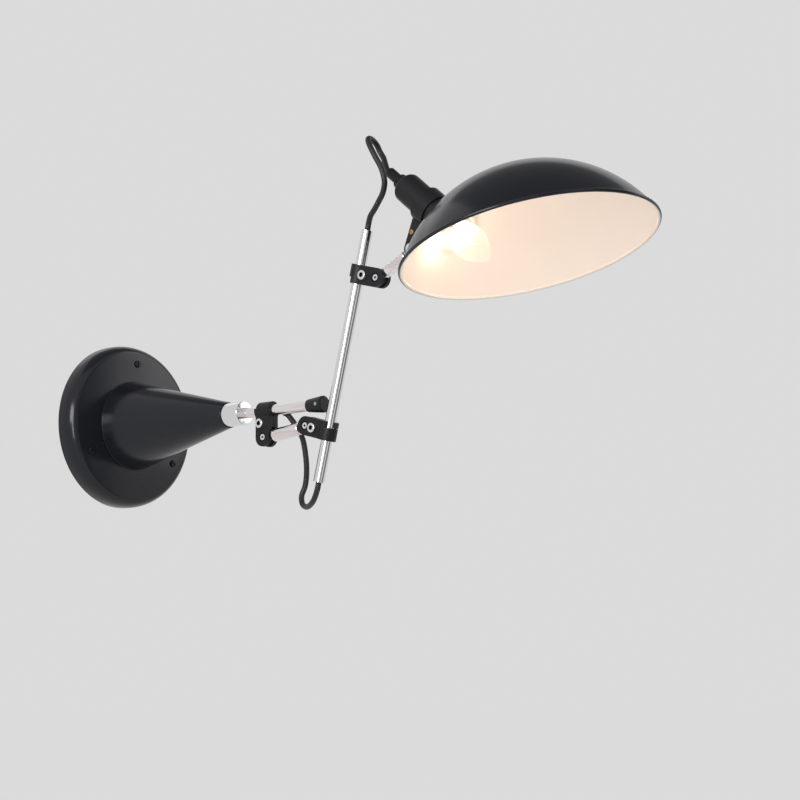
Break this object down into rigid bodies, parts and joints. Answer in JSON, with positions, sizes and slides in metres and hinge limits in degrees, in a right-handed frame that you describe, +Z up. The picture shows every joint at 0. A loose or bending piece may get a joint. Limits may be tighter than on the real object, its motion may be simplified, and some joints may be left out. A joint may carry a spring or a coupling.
{
  "type": "swing arm wall lamp",
  "caption": "Wall lamp with a fixed arm on a cone, a clamped strut and sliding rod that fold and tilt, and a wide dished metal shade on a tilting lampholder.",
  "frame": {"origin": "centre of the wall fixing holes, on the wall face", "axes": "-Y straight out from the wall along the fixed arm, +Z up, +X to the right when the wall is faced"},
  "size_m": [0.262, 0.7123, 0.381],
  "materials": {
    "black_enamel": "satin",
    "black_clamp": "satin",
    "black_bracket": "satin",
    "black_moulded": "matte",
    "black_cord": "matte",
    "chrome": "polished",
    "zinc_steel": "brushed",
    "black_screws": "satin",
    "white_moulded": "matte",
    "brass": "satin",
    "bulb_cap_metal": "satin",
    "bulb_glass": "clear",
    "bulb_filament": "glowing"
  },
  "bodies": {
    "base": {"wall_plate": "zinc_steel", "flange": "black_enamel", "flange_screws": "black_screws", "cone": "black_enamel", "cone_lock_ring": "zinc_steel", "collar": "chrome", "collar_nut": "zinc_steel", "collar_set_screw": "zinc_steel", "terminal_block": "white_moulded", "cord_in_base": "black_cord"},
    "arm": {"arm_tube": "chrome", "arm_end_cap": "black_moulded", "arm_end_screw": "zinc_steel", "cord_in_arm": "black_cord", "cord_lower_loop": "black_cord", "arm_clamp_front": "black_clamp", "arm_clamp_rear": "black_clamp", "arm_clamp_screw": "chrome", "arm_clamp_nut": "zinc_steel", "strut_pivot_screw": "chrome"},
    "strut": {"strut_tube": "chrome", "strut_eyes": "chrome"},
    "rod_clamp": {"rod_clamp_front": "black_clamp", "rod_clamp_rear": "black_clamp", "rod_clamp_screw": "chrome", "rod_clamp_nut": "zinc_steel", "rod_pivot_screw": "chrome"},
    "rod": {"rod_tube": "chrome", "rod_bushes": "black_moulded", "cord_in_rod": "black_cord", "cord_upper_loop": "black_cord"},
    "head_clamp": {"head_clamp_front": "black_clamp", "head_clamp_rear": "black_clamp", "head_clamp_screw": "chrome", "head_clamp_nut": "zinc_steel", "head_arm_pivot_screw": "chrome"},
    "head_arm": {"head_arm_tube": "chrome", "head_arm_eyes": "chrome"},
    "head": {"head_bracket": "black_bracket", "bracket_screw": "brass", "head_pivot_screw": "chrome", "head_pivot_nut": "zinc_steel", "shade": "black_enamel", "shade_ring": "white_moulded", "holder_shell": "black_moulded", "holder_cap": "black_moulded", "socket_insert": "white_moulded", "socket_contacts": "brass", "gland_ring": "black_moulded", "gland_nose": "black_moulded", "cord_in_holder": "black_cord", "bulb_glass": "bulb_glass", "bulb_cap": "bulb_cap_metal", "bulb_filament": "bulb_filament"}
  },
  "joints": [
    {"name": "arm_swivel", "type": "hinge", "parent": "base", "child": "arm", "pos_m": [0, -0.199, 0], "axis": [0, -1, 0], "range_deg": [-60, 60]},
    {"name": "strut_tilt", "type": "hinge", "parent": "arm", "child": "strut", "pos_m": [0, -0.232, -0.029], "axis": [1, 0, 0], "range_deg": [-1, 50]},
    {"name": "rod_tilt", "type": "hinge", "parent": "strut", "child": "rod_clamp", "pos_m": [0, -0.29354, -0.02144], "axis": [1, 0, 0], "range_deg": [-12, 45], "deforming": ["cord_lower_loop"]},
    {"name": "rod_slide", "type": "slide", "parent": "rod_clamp", "child": "rod", "axis": [0, -0.2588, 0.9659], "range_m": [-0.06, 0.03]},
    {"name": "head_swing", "type": "hinge", "parent": "rod", "child": "head_clamp", "pos_m": [0, -0.36464, 0.13188], "axis": [0, -0.2588, 0.9659], "range_deg": [-90, 90]},
    {"name": "head_arm_tilt", "type": "hinge", "parent": "head_clamp", "child": "head_arm", "pos_m": [0, -0.39265, 0.12437], "axis": [1, 0, 0], "range_deg": [-25, 40], "deforming": ["cord_upper_loop"]},
    {"name": "head_tilt", "type": "hinge", "parent": "head_arm", "child": "head", "pos_m": [0, -0.44053, 0.14824], "axis": [1, 0, 0], "range_deg": [-20, 45]}
  ]
}
